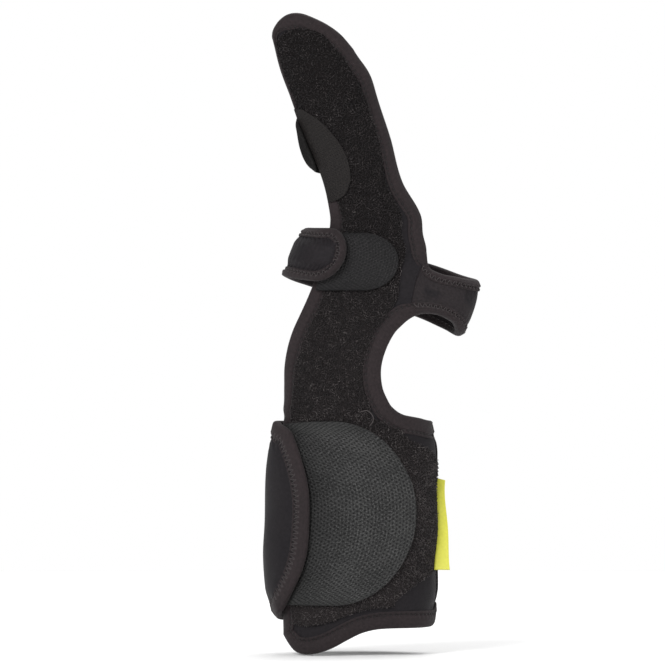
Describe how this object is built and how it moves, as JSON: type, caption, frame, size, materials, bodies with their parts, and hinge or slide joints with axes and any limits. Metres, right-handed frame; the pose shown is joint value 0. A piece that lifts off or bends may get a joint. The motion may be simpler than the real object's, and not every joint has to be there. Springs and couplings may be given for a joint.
{
  "type": "finger splint",
  "caption": "Soft wrist-to-fingertip splint for the left middle finger: a neoprene palm trough with loop-pile facing, held by wrist, hand and finger straps with hook tabs.",
  "frame": {"origin": "middle of the wrist opening, where the splint is held when it is worn", "axes": "+Z from the wrist to the fingertip, palm side facing -Y, little-finger side at +X"},
  "size_m": [0.0906, 0.058, 0.2748],
  "materials": {
    "neoprene": "smooth black jersey over foam rubber",
    "loop_pile": "woolly black loop pile",
    "binding": "soft black stretch tape, stitched",
    "hook": "grey-black woven hook tape",
    "label": "yellow woven ribbon, bare"
  },
  "bodies": {
    "root": {"body_shell": "neoprene", "loop_facing": "loop_pile", "body_binding": "binding", "cutout_binding": "binding", "wrist_strap": "neoprene", "wrist_strap_binding": "binding", "wrist_hook_tab": "hook", "hand_strap": "neoprene", "hand_strap_binding": "binding", "hand_hook_tab": "hook", "finger_strap": "neoprene", "finger_hook_tab": "hook", "side_label": "label"}
  },
  "joints": []
}
